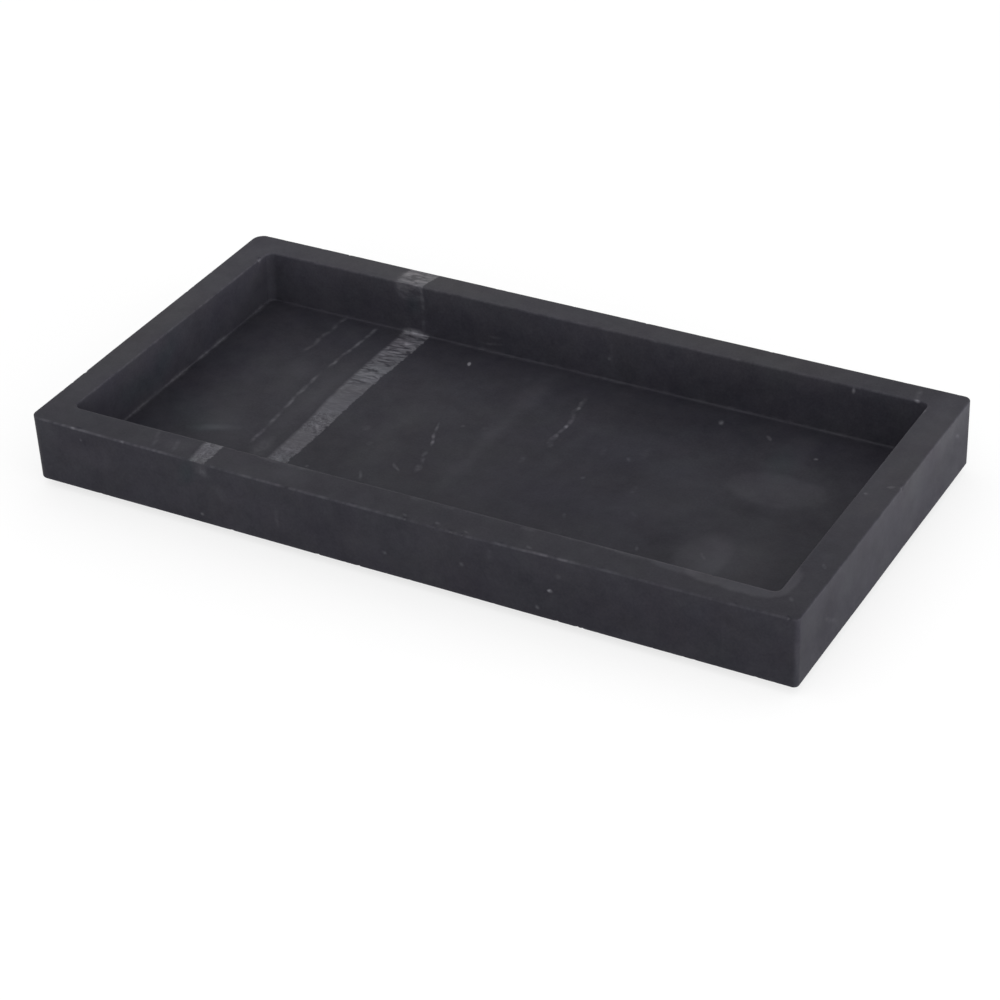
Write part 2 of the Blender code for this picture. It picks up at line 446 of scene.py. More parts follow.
# Upright faces lean, so a mark on one moves out or in with it
def onLeaningFace(axis, inPocket, x, y, z):
    point = Vector((x, y, z))
    point[axis] += offSquare(point, inPocket)[axis]
    return point


# Where a mark in the tables below lies, from its two numbers
faceOf = {
    "floor": lambda a, b: Vector((a, b, pocketLow.z)),
    "rim": lambda a, b: Vector((a, b, blockHigh.z)),
    "front": lambda a, b: onLeaningFace(1, False, a, blockLow.y, b),
    "right": lambda a, b: onLeaningFace(0, False, blockHigh.x, a, b),
    "back": lambda a, b: onLeaningFace(1, True, a, pocketHigh.y, b),
    "left": lambda a, b: onLeaningFace(0, True, pocketLow.x, a, b),
}

# The smaller veins and spots, pale lines at the foot of the pocket's walls, and one painted highlight:
# face, paleness, half width, how soft the edge is, up to 1, and the points that the mark runs through.
# One point makes a round spot.
fineMarksAndPaintedHighlight = (
    ("floor", 0.105, 1.3, 1, (-87.2, 61), (-87.3, 51), (-87.8, 42), (-88.6, 37), (-88.7, 27)),
    ("floor", 0.095, 1.3, 1, (-89.3, 21), (-89.2, 14), (-89.0, 5), (-88.2, -5), (-87.2, -18),
     (-87.0, -30)),
    ("floor", 0.060, 1.5, 1, (-102.0, 62), (-103.0, 56), (-102.0, 51), (-103.6, 45), (-102.6, 39),
     (-104.0, 34)),
    ("floor", 0.10, 0.9, 1, (-31.0, 10), (-29.0, 4)),
    ("floor", 0.13, 0.9, 0.9, (-29.0, 3.5), (-27.5, 0), (-25.8, -4)),
    ("floor", 0.05, 1.2, 1, (-25.5, -8), (-24.8, -12), (-22.5, -16)),
    ("floor", 0.07, 1.8, 1, (-23.0, -17.5), (-22.0, -20.5)),
    ("floor", 0.08, 1.0, 1, (-32.2, -20.2), (-28.0, -23.5)),
    ("floor", 0.07, 1.0, 1, (-40.5, -29), (-37.3, -34.5)),
    ("floor", 0.07, 1.4, 1, (9.7, 47), (10.4, 41), (10.0, 37), (12.0, 33), (12.4, 27), (11.9, 22)),
    ("floor", 0.06, 1.8, 1, (11.8, 20), (11.9, 16), (13.4, 13)),
    ("floor", 0.12, 1.1, 0.9, (10.5, 40.5), (10.8, 39.3)),
    ("floor", 0.20, 1.1, 0.9, (12.1, 27.6), (12.4, 26.2)),
    ("floor", 0.16, 1.3, 0.9, (11.9, 20.6), (12.0, 19.8)),
    ("floor", 0.03, 1.6, 1, (8.0, 4), (8.8, 0)),
    ("floor", 0.025, 2.2, 1, (46.2, 26), (46.6, 19)),
    ("floor", 0.025, 1.6, 1, (32.0, 20), (32.6, 16)),
    ("floor", 0.025, 1.6, 1, (53.0, 3), (54.0, -3)),
    ("floor", 0.04, 1.4, 1, (59.5, -12.5), (61.5, -13.8)),
    ("floor", 0.14, 1.4, 1, (-71.4, 54.7), (-69.8, 54.0)),
    ("floor", 0.14, 1.3, 1, (-71.6, 49.8), (-68.6, 49.6)),
    ("floor", 0.12, 1.3, 1, (-75.0, 28.8), (-72.8, 29.3)),
    ("floor", 0.10, 1.0, 1, (-76.4, 24.4), (-68.5, 24.8)),
    ("floor", 0.14, 1.3, 1, (-71.8, 0.4), (-70.9, -0.2)),
    ("floor", 0.15, 1.4, 1, (-70.6, -9.5), (-68.6, -12.2)),
    ("floor", 0.12, 1.2, 1, (-72.2, -28.0), (-70.3, -27.8)),
    ("floor", 0.14, 1.3, 1, (-72.4, -34.6), (-70.4, -35.2)),
    ("floor", 0.24, 0.9, 0.7, (-42.0, 51.8), (-41.2, 50.2)),
    ("floor", 0.09, 1.1, 0.9, (-59.5, -34.5)),
    ("floor", 0.05, 1.4, 1, (-22.0, 12)),
    ("floor", 0.03, 2.6, 1, (-53.5, -3.5)),
    ("floor", 0.03, 1.8, 1, (-47.0, -12)),
    ("floor", 0.03, 1.8, 1, (-14.0, 14)),
    ("floor", 0.15, 1.3, 1, (61.6, 53.6), (62.4, 52)),
    ("floor", 0.10, 1.1, 1, (81.3, 51.2), (83.0, 49.6)),
    ("floor", 0.16, 1.1, 0.9, (103.0, 44.5)),
    ("floor", 0.07, 1.1, 1, (42.2, 18.0), (43.6, 16.4)),
    ("floor", 0.08, 1.3, 1, (33.6, -0.2)),
    ("floor", 0.07, 1.0, 1, (38.6, -23.0), (39.4, -25)),
    ("floor", 0.05, 1.0, 1, (92.0, -25), (94.5, -27.8)),
    ("floor", 0.05, 1.0, 1, (70.5, -30), (71.5, -33)),
    ("floor", 0.16, 2.6, 0.8, (-75.5, 62.6), (-68.5, 62.2)),
    ("floor", 0.035, 4.5, 1, (-81.0, -24.0), (-81.0, -38.0)),
    ("floor", 0.020, 1.2, 1, (-60.0, 61.8), (-8.0, 62.0), (30.0, 62.2), (85.0, 62.4), (128.0, 62.6)),
    ("floor", 0.04, 1.9, 1, (-136.8, 60), (-136.9, 46)),
    ("floor", 0.08, 1.9, 1, (-137.0, 31), (-137.2, 21)),
    ("floor", 0.08, 1.8, 1, (-137.2, 18), (-137.2, 12.5)),
    ("floor", 0.06, 1.9, 1, (-137.4, 8), (-137.5, -11)),
    ("floor", 0.05, 1.9, 1, (-137.6, -20), (-137.8, -36)),
    ("floor", -0.010, 2.0, 1, (-137.2, 11), (-137.4, 3)),
    ("rim", 0.030, 1.6, 1, (-101.5, -62), (-99.5, -67), (-98.0, -71.5)),
    ("rim", 0.035, 1.4, 1, (-91.5, -65), (-90.5, -68), (-89.5, -71.5)),
    ("rim", 0.05, 2.4, 1, (-80.0, 67.0), (-78.5, 74.0)),
    ("rim", 0.08, 1.1, 1, (139.5, 3.6)),
    ("rim", 0.12, 1.0, 0.9, (145.0, 10.2), (146.3, 11.0)),
    ("rim", 0.07, 1.0, 0.9, (143.8, -40.5), (145.2, -42.0)),
    ("rim", 0.05, 1.1, 1, (142.0, -61.5), (143.0, -63)),
    ("rim", 0.05, 1.7, 1, (130.0, 73.4), (131.6, 66.5)),
    ("rim", 0.16, 1.2, 1, (131.4, 65.4), (132.4, 65.3)),
    ("rim", 0.11, 1.0, 1, (136.9, 61.0), (136.8, 58.8)),
    ("rim", 0.22, 1.1, 0.9, (-136.8, 57.5)),
    ("rim", 0.035, 1.3, 1, (-60.0, -62.3), (-50.0, -62.6), (-38.0, -62.2)),
    ("rim", 0.030, 1.5, 1, (2.0, -62.4), (5.0, -62.2)),
    ("rim", 0.030, 1.4, 1, (14.0, -62.5), (18.0, -62.3)),
    ("rim", 0.030, 1.5, 1, (44.0, -62.2), (49.0, -62.4)),
    ("rim", 0.035, 1.4, 1, (60.0, -61.8), (66.0, -61.4), (86.0, -61.2)),
    ("rim", 0.25, 1.0, 0.9, (5.6, -75.0), (6.0, -74.9)),
    ("rim", 0.22, 0.9, 0.9, (42.4, -74.8), (43.4, -74.5)),
    ("rim", 0.14, 0.9, 0.9, (24.2, -74.9)),
    ("rim", 0.24, 1.2, 1, (-132.0, -73.9), (-128.5, -74.0)),
    ("rim", 0.16, 1.0, 0.9, (-109.5, -74.1)),
    ("rim", 0.14, 0.8, 0.9, (-14.4, -75.1)),
    ("rim", 0.24, 0.9, 0.9, (145.2, -73.1), (145.7, -73.0)),
    ("rim", 0.07, 0.9, 1, (54.0, -74.2), (61.0, -73.8), (69.0, -73.4)),
    ("front", 0.34, 1.0, 0.9, (60.3, 14.4), (61.0, 14.4)),
    ("front", 0.05, 0.9, 1, (-128.2, 23.6)),
    ("front", -0.014, 2.2, 1, (-126.4, 22.8)),
    ("front", 0.09, 1.3, 1, (55.8, 6.8)),
    ("front", 0.05, 1.5, 1, (27.5, 16.0)),
    ("front", 0.03, 1.5, 1, (64.0, 21.0)),
    ("front", 0.08, 1.2, 1, (-3.0, 11.8)),
    ("front", 0.09, 1.1, 1, (-78.0, 6.6)),
    ("front", 0.055, 3.2, 1, (-77.0, 25.4), (-75.6, 24.8)),
    ("front", 0.030, 1.3, 1, (-46.3, 18), (-46.0, 10)),
    ("front", 0.025, 1.3, 1, (38.3, 21), (38.5, 25)),
    ("rim", 0.08, 0.9, 1, (4.6, -71.9), (5.6, -72.6)),
    ("rim", 0.07, 1.0, 1, (17.0, -71.6), (18.4, -72.4)),
    ("rim", 0.06, 0.9, 1, (28.6, -72.2), (29.6, -72.8)),
    ("rim", 0.05, 0.9, 1, (51.5, -71.4), (53.0, -72.2)),
    ("right", 0.09, 1.2, 1, (59.6, 21.2), (62.6, 19.0)),
    # Painted highlight: a narrow pale stripe down the rounded front right corner, where it catches the
    # light
    ("right", 0.030, 1.8, 1, (-73.2, 27.0), (-73.4, 8.0)),
    ("right", 0.035, 1.2, 1, (-52.0, 15.6), (-47.0, 12.0), (-42.0, 8.6)),
    ("back", 0.035, 1.4, 1, (-68.3, 27.5), (-68.0, 16), (-67.6, 9)),
    ("back", 0.030, 3.5, 1, (-79.0, 27.0), (-76.0, 23.0)),
    ("back", 0.05, 0.9, 1, (-42.5, 10.8), (-33.0, 12.0)),
    ("back", 0.025, 0.9, 1, (-40.0, 14.0), (-34.0, 14.6)),
    ("back", 0.015, 1.6, 1, (12.4, 15), (12.2, 23)),
    ("back", 0.05, 1.1, 1, (11.5, 16.6)),
    ("back", 0.12, 1.1, 1, (108.3, 27.0), (108.3, 25.8)),
)

# The same for clouds, whose outlines wander more, and for one painted shade. Less than zero is a darker
# place.
cloudMarksAndPaintedShade = (
    ("floor", 0.028, 8.5, 1, (-82.5, 40), (-82.5, -28)),
    ("floor", 0.018, 8.0, 1, (-100.0, 28), (-98.0, 12)),
    ("floor", 0.008, 12.0, 1, (-104.0, 52), (-92.0, 50)),
    ("floor", 0.012, 12.0, 1, (-112.0, -20), (-96.0, -28)),
    ("floor", 0.012, 10.0, 1, (-44.0, 34), (-42.0, -32)),
    ("floor", 0.026, 6.5, 1, (-8.0, 58), (-9.5, 24), (-9.5, 4)),
    ("floor", 0.016, 5.0, 1, (-9.5, 10), (-9.0, -30)),
    ("floor", -0.009, 16.0, 1, (15.0, 42), (62.0, 40)),
    ("floor", -0.008, 17.0, 1, (35.0, 6), (68.0, 4)),
    ("floor", -0.007, 18.0, 1, (10.0, -22), (68.0, -22)),
    ("floor", 0.024, 11.5, 0.35, (89.5, 19.5), (108.0, 20.5)),
    ("floor", 0.014, 8.0, 1, (84.0, 15.0), (97.0, 15.0)),
    ("floor", 0.014, 14.0, 0.5, (96.0, 31.0), (106.0, 26.0)),
    ("floor", 0.015, 10.0, 0.6, (94.0, 50.0), (96.0, 38.0)),
    ("floor", -0.016, 5.0, 1, (85.0, 4.5), (106.0, 5.0)),
    ("floor", -0.010, 6.0, 1, (115.0, 11.0), (121.0, 2.0)),
    ("floor", 0.029, 11.0, 0.4, (93.5, -21.0), (93.5, -36.0)),
    ("floor", 0.018, 14.0, 1, (93.0, -22.0), (99.0, -32.0)),
    ("floor", 0.026, 19.0, 0.9, (103.0, -19.0), (109.0, -32.0)),
    ("floor", -0.010, 10.0, 1, (77.0, -12.0), (76.0, -32.0)),
    ("floor", 0.014, 15.0, 1, (-112.0, -14.0), (-98.0, -24.0)),
    ("floor", -0.008, 12.0, 1, (-129.0, 10.0), (-129.0, -6.0)),
    ("floor", 0.012, 6.0, 1, (-81.0, -24.0), (-80.5, -37.0)),
    ("rim", 0.045, 5.0, 1, (-74.8, 70.0), (-74.0, 69.0)),
    ("rim", -0.025, 5.0, 1, (-78.0, -68.5)),
    ("rim", 0.018, 5.0, 1, (-95.0, -68), (-86.0, -68)),
    ("rim", 0.012, 6.0, 1, (-48.0, -68), (-38.0, -68)),
    ("rim", 0.012, 5.0, 1, (-14.0, -64), (-12.0, -72)),
    ("rim", -0.008, 9.0, 1, (-45.0, -68), (60.0, -68)),
    ("rim", 0.020, 14.0, 1, (144.0, 72), (144.0, -55)),
    ("rim", 0.020, 12.0, 1, (144.0, 40), (144.0, 72)),
    ("rim", 0.008, 12.0, 1, (144.0, -50), (144.0, -70)),
    ("rim", 0.020, 14.0, 1, (-144.0, 62), (-144.0, -66)),
    ("rim", 0.009, 12.0, 1, (-144.0, -45), (-144.0, -70)),
    ("rim", 0.026, 12.0, 1, (-130.0, 70), (-20.0, 70)),
    ("rim", 0.010, 12.0, 1, (-10.0, 70), (130.0, 70)),
    ("front", 0.018, 4.0, 1, (-70.0, 19), (-67.0, 16)),
    ("front", 0.012, 9.0, 1, (-112.0, 22), (-132.0, 14)),
    ("front", -0.009, 16.0, 1, (15.0, 14), (145.0, 14)),
    ("front", -0.006, 16.0, 1, (120.0, 14), (148.0, 14)),
    ("right", -0.014, 14.0, 1, (48.0, 14), (74.0, 14)),
    ("right", -0.004, 14.0, 1, (-45.0, 14), (-70.0, 14)),
    # Painted shade: the whole of the pocket's back wall, and the floor near it, a little darker
    ("back", -0.008, 14.0, 1, (-125.0, 17), (0.0, 17), (130.0, 17)),
)

# The pale band that hugs the rim's inner edge at the front right, a painted highlight standing in for a
# wide eased edge that catches the light, and a streak across the floor's corner
paintedHighlightBandAndStreak = (
    ("floor", 0.055, 3.2, 1, (-112.5, -29.6), (-97.0, -22.8)),
    # Painted highlight: the band along the rim's inner edge, from here to the end of the table
    ("rim", 0.030, 2.0, 1, (76.0, -61.2), (94.0, -61.5)),
    ("rim", 0.036, 3.4, 0.6, (93.0, -61.0), (108.0, -62.2)),
    ("rim", 0.048, 4.8, 0.4, (108.0, -61.2), (118.0, -62.0), (127.0, -62.4), (134.2, -61.3),
     (137.0, -58.4), (137.0, -49.5)),
)

# Marks that tint the stone greenish, brownish or violet. Here the paleness is the tint's strength.
greenMarks = (
    ("floor", 0.5, 13.0, 1, (-128.0, -16), (-112.0, -27)),
    ("floor", 0.35, 6.0, 1, (-114.0, -30), (-97.0, -22.8)),
    ("floor", 0.5, 9.0, 1, (90.0, 45), (97.0, 28)),
    ("front", 0.8, 5.0, 1, (-85.0, 18.5), (-81.0, 26.0)),
    ("back", 0.6, 4.5, 1, (-73.0, 21), (-72.0, 18)),
    ("left", 0.6, 8.0, 1, (-2.0, 22), (-14.0, 14), (-36.0, 18)),
)
brownMarks = (
    ("rim", 1.0, 14.0, 1, (-130.0, 72), (0.0, 72), (130.0, 72)),
    ("rim", 0.8, 13.0, 1, (-146.0, 55), (-146.0, -60)),
    ("rim", 0.4, 11.0, 1, (146.0, 70), (146.0, -20)),
)
violetMarks = (
    ("floor", 1.0, 30.0, 1, (0.0, -18.0), (78.0, -16.0)),
    ("floor", 0.8, 24.0, 1, (6.0, 20.0), (70.0, 18.0)),
)


def wobbled(tree, point, size, reach):  # the same point, pushed about by waves of a size
    drift = addNode(tree, "TexNoise", {}, {"Vector": point, "Scale": 1 / size, "Detail": 2}, "Color")
    centred = addNode(tree, "VectorMath", {"operation": "SUBTRACT"}, [drift, (0.5, 0.5, 0.5)])
    return addNode(tree, "VectorMath", {"operation": "MULTIPLY_ADD"}, [centred, (reach,) * 3, point])


# Adds up what a table's marks give at a point: each stretch between two of a mark's points is a long
# ellipsoid, full at its middle and fading to nothing at its skin
def addMarks(tree, point, marks, total):
    for face, strength, halfWidth, edge, *stops in marks:
        spots = [faceOf[face](*stop) for stop in stops]
        fullest = None
        for start, end in list(zip(spots, spots[1:])) or [(spots[0], spots[0])]:
            along = end - start
            turn = along.to_track_quat("X", "Z").to_euler() if along.length else (0, 0, 0)
            size = (along.length * marble["stretch"] + halfWidth, halfWidth, halfWidth)
            local = addNode(tree, "Mapping", {"vector_type": "TEXTURE"},
                            [point, (start + end) / 2, turn, size])
            near = addNode(tree, "TexGradient", {"gradient_type": "SPHERICAL"}, [local], "Fac")
            if fullest:
                near = addNode(tree, "Math", {"operation": "MAXIMUM"}, [fullest, near])
            fullest = near
        share = addNode(tree, "MapRange", eased, [fullest, 0, edge, 0, strength])
        total = addNode(tree, "Math", adding, [total, share])
    return total


# A value that changes along Y: what it is at first, and then where each change starts and ends, and by
# how much
def addChanges(tree, alongY, line):
    value, *changes = line
    for start, end, much in changes:
        change = addNode(tree, "MapRange", eased, [alongY, start, end, 0, much])
        value = addNode(tree, "Math", adding, [value, change])
    return value


def addMainVein(tree, point, normal):
    m = marble
    x, y, z = addNode(tree, "SeparateXYZ", {}, [point]).node.outputs
    upFromFloor = addNode(tree, "Math", {"operation": "SUBTRACT"}, [z, pocketLow.z])
    lean = addNode(tree, "Math", {"operation": "MULTIPLY_ADD"}, [y, m["veinLean"][1], m["veinLean"][0]])
    acrossVein = addNode(tree, "Math", {"operation": "MULTIPLY_ADD"}, [upFromFloor, lean, x])
    fibreTwist, crinkleTwist = m["twisting"]
    crinkles = addNode(tree, "TexNoise", {}, {
        "Vector": point, "Scale": 1 / m["veinCrinkles"], "Detail": 3, "Distortion": crinkleTwist,
    })
    rough = addNode(tree, "MapRange", unclamped,
                    [crinkles, *noiseSpan, -m["veinRoughness"], m["veinRoughness"]])
    fromRight = addNode(tree, "Math", {"operation": "SUBTRACT"},
                        [addChanges(tree, y, m["veinRight"]), acrossVein])
    fromRight = addNode(tree, "Math", adding, [fromRight, rough])
    fromLeft = addNode(tree, "Math", {"operation": "SUBTRACT"},
                       [acrossVein, addChanges(tree, y, m["veinLeft"])])
    inside = addNode(tree, "Math", multiplying,
                     [addNode(tree, "MapRange", eased, [fromRight, *m["rightFade"]]),
                      addNode(tree, "MapRange", eased, [fromLeft, *m["leftFade"]])])

    slanted = addNode(tree, "Math", {"operation": "MULTIPLY_ADD"}, [x, m["fibreSlant"], y])
    fibreSpace = addNode(tree, "CombineXYZ", {}, [x, slanted, z])
    fibreSpace = addNode(tree, "VectorMath", {"operation": "DIVIDE"}, [fibreSpace, m["veinFibres"]])
    fibres = addNode(tree, "TexNoise", {}, {
        "Vector": fibreSpace, "Scale": 1, "Detail": 4, "Roughness": 0.55, "Distortion": fibreTwist,
    })
    pattern = m["veinPaleness"]
    for grain, along in ((fibres, m["fibresAlong"]), (crinkles, m["crinklesAlong"])):
        centred = addNode(tree, "MapRange", unclamped,
                          [grain, *noiseSpan, -m["fibreContrast"], m["fibreContrast"]])
        pattern = addNode(tree, "Math", {"operation": "MULTIPLY_ADD"},
                          [centred, addChanges(tree, y, along), pattern])
    pattern = addNode(tree, "Math", {"operation": "MAXIMUM"}, [pattern, m["leastPaleness"]])

    upward = addNode(tree, "SeparateXYZ", {}, [normal]).node.outputs["Z"]
    upward = addNode(tree, "Math", {"operation": "ABSOLUTE"}, [upward])
    lying = addNode(tree, "MapRange", eased, [upward, *m["lying"]])
    onWall = addNode(tree, "MapRange", eased, [z, *m["wallTop"], m["wallShare"], m["wallTopShare"]])
    behind = addNode(tree, "MapRange", eased, [y, *m["fromFront"], m["frontShare"], 1])
    onWall = addNode(tree, "Math", multiplying, [onWall, behind])
    share = addNode(tree, "Math", {"operation": "MAXIMUM"}, [lying, onWall])
    shown = addNode(tree, "Math", multiplying, [inside, share])
    return addNode(tree, "Math", multiplying, [shown, pattern])


def makeMarble():
    m = marble
    material, tree, shader = newMaterial("honed black marble", {"Specular IOR Level": m["specular"]})
    place = addNode(tree, "TexCoord", output="Object")
    normal = addNode(tree, "TexCoord", output="Normal")
    point = addNode(tree, "VectorMath", {"operation": "SCALE"}, {"Vector": place, "Scale": 1 / mm})
    finePoint = wobbled(tree, point, *m["fineWobble"])
    coarsePoint = wobbled(tree, finePoint, *m["coarseWobble"])

    paleness = m["groundPaleness"]
    for size, detail, reach in m["mottling"]:
        cloud = addNode(tree, "TexNoise", {}, {"Vector": point, "Scale": 1 / size, "Detail": detail})
        centred = addNode(tree, "MapRange", unclamped, [cloud, *noiseSpan, -reach, reach])
        paleness = addNode(tree, "Math", adding, [paleness, centred])
    grain = paleness
    paleness = addMarks(tree, coarsePoint, cloudMarksAndPaintedShade, paleness)
    paleness = addMarks(tree, finePoint, paintedHighlightBandAndStreak, paleness)
    size, least, most = m["brokenness"]
    breaks = addNode(tree, "TexNoise", {}, {"Vector": point, "Scale": 1 / size, "Detail": 3})
    unbroken = addNode(tree, "MapRange", eased, [breaks, *noiseCore, least, most])
    paleness = addNode(tree, "Math", {"operation": "MULTIPLY_ADD"},
                       [addMarks(tree, finePoint, fineMarksAndPaintedHighlight, 0), unbroken, paleness])
    vein = addMainVein(tree, finePoint, normal)
    paleness = addNode(tree, "Math", adding, [paleness, vein])

    bruise = addNode(tree, "Attribute", {"attribute_name": "bruise"}, {}, "Fac")
    paleness = addNode(tree, "Math", {"operation": "MULTIPLY_ADD"},
                       [bruise, m["bruisePaleness"], paleness])
    colour = addNode(tree, "Mix", {"data_type": "RGBA"}, {
        "Factor_Float": paleness, "A_Color": toLinear(m["darkest"]), "B_Color": toLinear(m["pale"]),
    }, "Result_Color")
    # Painted sheen: the whole tone is paler towards the back, the left and the top
    fromMiddle = addNode(tree, "VectorMath", {"operation": "SUBTRACT"}, [point, m["paintedSheenFrom"]])
    paintedSheenSlope = addNode(tree, "VectorMath", {"operation": "DOT_PRODUCT"}, [fromMiddle, m["paintedSheenSlope"]], "Value")
    tone = addNode(tree, "Math", adding, [paintedSheenSlope, 1.0])
    colour = addNode(tree, "VectorMath", {"operation": "SCALE"}, {"Vector": colour, "Scale": tone})
    size, reach = m["hueChange"]
    hues = addNode(tree, "TexNoise", {}, {"Vector": point, "Scale": 1 / size, "Detail": 2}, "Color")
    hues = addNode(tree, "VectorMath", {"operation": "MULTIPLY_ADD"},
                   [hues, (reach,) * 3, (1 - reach / 2,) * 3])
    colour = addNode(tree, "VectorMath", {"operation": "MULTIPLY"}, [colour, hues])
    for name, marks in (("greenTint", greenMarks), ("brownTint", brownMarks),
                        ("violetTint", violetMarks)):
        colour = addNode(tree, "Mix", {"data_type": "RGBA", "blend_type": "MULTIPLY"}, {
            "Factor_Float": addMarks(tree, coarsePoint, marks, 0), "A_Color": colour,
            "B_Color": toLinear(m[name]),
        }, "Result_Color")
    tree.links.new(colour, shader.inputs["Base Color"])

    polish = addNode(tree, "TexNoise", {}, {"Vector": point, "Scale": 1 / m["polishSize"], "Detail": 4})
    roughness = addNode(tree, "MapRange", eased, [polish, *noiseSpan, *m["roughness"]])
    roughness = addNode(tree, "Mix", {"data_type": "FLOAT"}, {
        "Factor_Float": bruise, "A_Float": roughness, "B_Float": m["bruisedRoughness"],
    }, "Result_Float")
    tree.links.new(roughness, shader.inputs["Roughness"])

    strength, depth = m["bump"]
    bumps = addNode(tree, "Bump", {}, {"Strength": strength, "Distance": depth * mm, "Height": grain})
    tree.links.new(bumps, shader.inputs["Normal"])
    return material


stone = makeStone(makeMarble())
print("stone made, with", len(stone.data.polygons), "faces")


# The feet: moulded bumpers of soft clear silicone, gone a little milky, each held by a disc of tape
feet = {
    "inset": 18.0,                         # from the block's outer faces to a foot's middle
    "radius": 6.0,
    "top": 2.28,                           # pressed into the tape, so nothing shows between the two
    "topEdge": (0.15, 0.12),               # taken off it: inwards, and downwards
    "band": 0.75,                          # the upright part of its side
    "seamDepth": 0.06,                     # where the two halves of the mould met
    "seamHeights": (0.12, 0.06, 0),        # of its groove, above the band's lower end
    "contactRadius": 4.25,
    "dimpleRadius": 2.6,                   # the mould's dimple, which grips a smooth surface
    "dimpleDepth": 0.18,
    "dimpleSteps": 4,
    "edgeSteps": 8,
    "turnSteps": 64,
    "weld": 0.001,                         # points closer than this become one
    "colour": "#cbcfce",
    "dust": "#9c9a94",
    "dustHeight": 0.9,                     # it lies no higher than this
    "dustSpecks": 1.9,                     # to each mm
    "dustMost": 0.55,                      # the share of the surface that it covers there
    "dustFull": 0.5,                       # where it covers this much, the surface is as rough as dust
    "roughness": (0.42, 0.7),              # clean, and covered with dust
    "skinGrain": 3.2,                      # to each mm, which is coarser than a real mould's
    "bump": (0.15, 0.05),                  # strength and depth
}

tape = {
    "radius": 5.5,
    "bottom": 2.28,
    "top": 2.99,
    "rounding": 0.12,
    "colour": "#e6e2d8",
    "cells": 0.35,                         # the foam's pores, drawn three times their real size
    "poreShadeColour": "#b9b4a8",
    "poreShade": (0.5, 0.35),              # its reach from a pore's middle, in cells, and its strength
    "poreRoughness": (0.6, 0.75),          # the same for roughness
    "roughness": 0.55,
    "bump": (0.4, 0.05),
}

corners = {"front_left": (-1, -1), "front_right": (1, -1), "back_left": (-1, 1), "back_right": (1, 1)}


def cornerPlace(sideX, sideY):
    return Vector((sideX * (blockHigh.x - feet["inset"]), sideY * (blockHigh.y - feet["inset"]), 0))


# Half the section through a foot or a tape disc, as X and Z from its axis, turned into a closed shape
def turnProfile(profile, middle):
    bm = bmesh.new()
    verts = [bm.verts.new((x, 0, z)) for x, z in profile]
    edges = [bm.edges.new(pair) for pair in zip(verts, verts[1:])]
    bmesh.ops.spin(bm, geom=verts + edges, cent=(0, 0, 0), axis=(0, 0, 1), angle=math.tau,
                   steps=feet["turnSteps"], use_merge=True)
    bmesh.ops.remove_doubles(bm, verts=bm.verts, dist=feet["weld"])
    bmesh.ops.recalc_face_normals(bm, faces=bm.faces)
    bmesh.ops.translate(bm, vec=middle, verts=bm.verts)
    bmesh.ops.scale(bm, vec=(mm, mm, mm), verts=bm.verts)
    return bm


def footProfile():
    f = feet
    side = f["top"] - f["band"]
    inwards, downwards = f["topEdge"]
    points = [(0, f["top"]), (f["radius"] - inwards, f["top"]), (f["radius"], f["top"] - downwards)]
    for height, depth in zip(f["seamHeights"], (0, f["seamDepth"], 0)):
        points.append((f["radius"] - depth, side + height))
    reach = f["radius"] - f["contactRadius"]
    for step in range(1, f["edgeSteps"] + 1):
        turn = math.pi / 2 * step / f["edgeSteps"]
        points.append((f["contactRadius"] + reach * math.cos(turn), side * (1 - math.sin(turn))))
    for step in range(f["dimpleSteps"], -1, -1):
        share = step / f["dimpleSteps"]
        points.append((f["dimpleRadius"] * share, f["dimpleDepth"] * (1 - share * share)))
    return points


def tapeProfile():
    outer, cut = tape["radius"], tape["rounding"]
    return [(0, tape["top"]), (outer - cut, tape["top"]), (outer, tape["top"] - cut),
            (outer, tape["bottom"] + cut), (outer - cut, tape["bottom"]), (0, tape["bottom"])]


# Silicone, moulded: soft and milky, with a mat skin, and dust caught round the edge that it stands on
def makeSilicone():
    f = feet
    material, tree, shader = newMaterial("translucent moulded silicone", {
        "IOR": 1.41,
        "Subsurface Weight": 0.25,
        "Subsurface Scale": 1.5 * mm,
    })
    place = addNode(tree, "TexCoord", output="Object")
    height = addNode(tree, "SeparateXYZ", {}, [place]).node.outputs["Z"]
    low = addNode(tree, "MapRange", eased, [height, 0, f["dustHeight"] * mm, f["dustMost"], 0])
    dust = addNode(tree, "TexNoise", {}, {"Vector": place, "Scale": f["dustSpecks"] / mm, "Detail": 4})
    dust = addNode(tree, "MapRange", eased, [dust, *noiseCore])
    dusty = addNode(tree, "Math", multiplying, [low, dust])
    colour = addNode(tree, "Mix", {"data_type": "RGBA"}, {
        "Factor_Float": dusty, "A_Color": toLinear(f["colour"]), "B_Color": toLinear(f["dust"]),
    }, "Result_Color")
    tree.links.new(colour, shader.inputs["Base Color"])
    roughness = addNode(tree, "MapRange", eased, [dusty, 0, f["dustFull"], *f["roughness"]])
    tree.links.new(roughness, shader.inputs["Roughness"])
    skin = addNode(tree, "TexNoise", {}, {"Vector": place, "Scale": f["skinGrain"] / mm, "Detail": 2})
    strength, depth = f["bump"]
    bumps = addNode(tree, "Bump", {}, {"Strength": strength, "Distance": depth * mm, "Height": skin})
    tree.links.new(bumps, shader.inputs["Normal"])
    return material


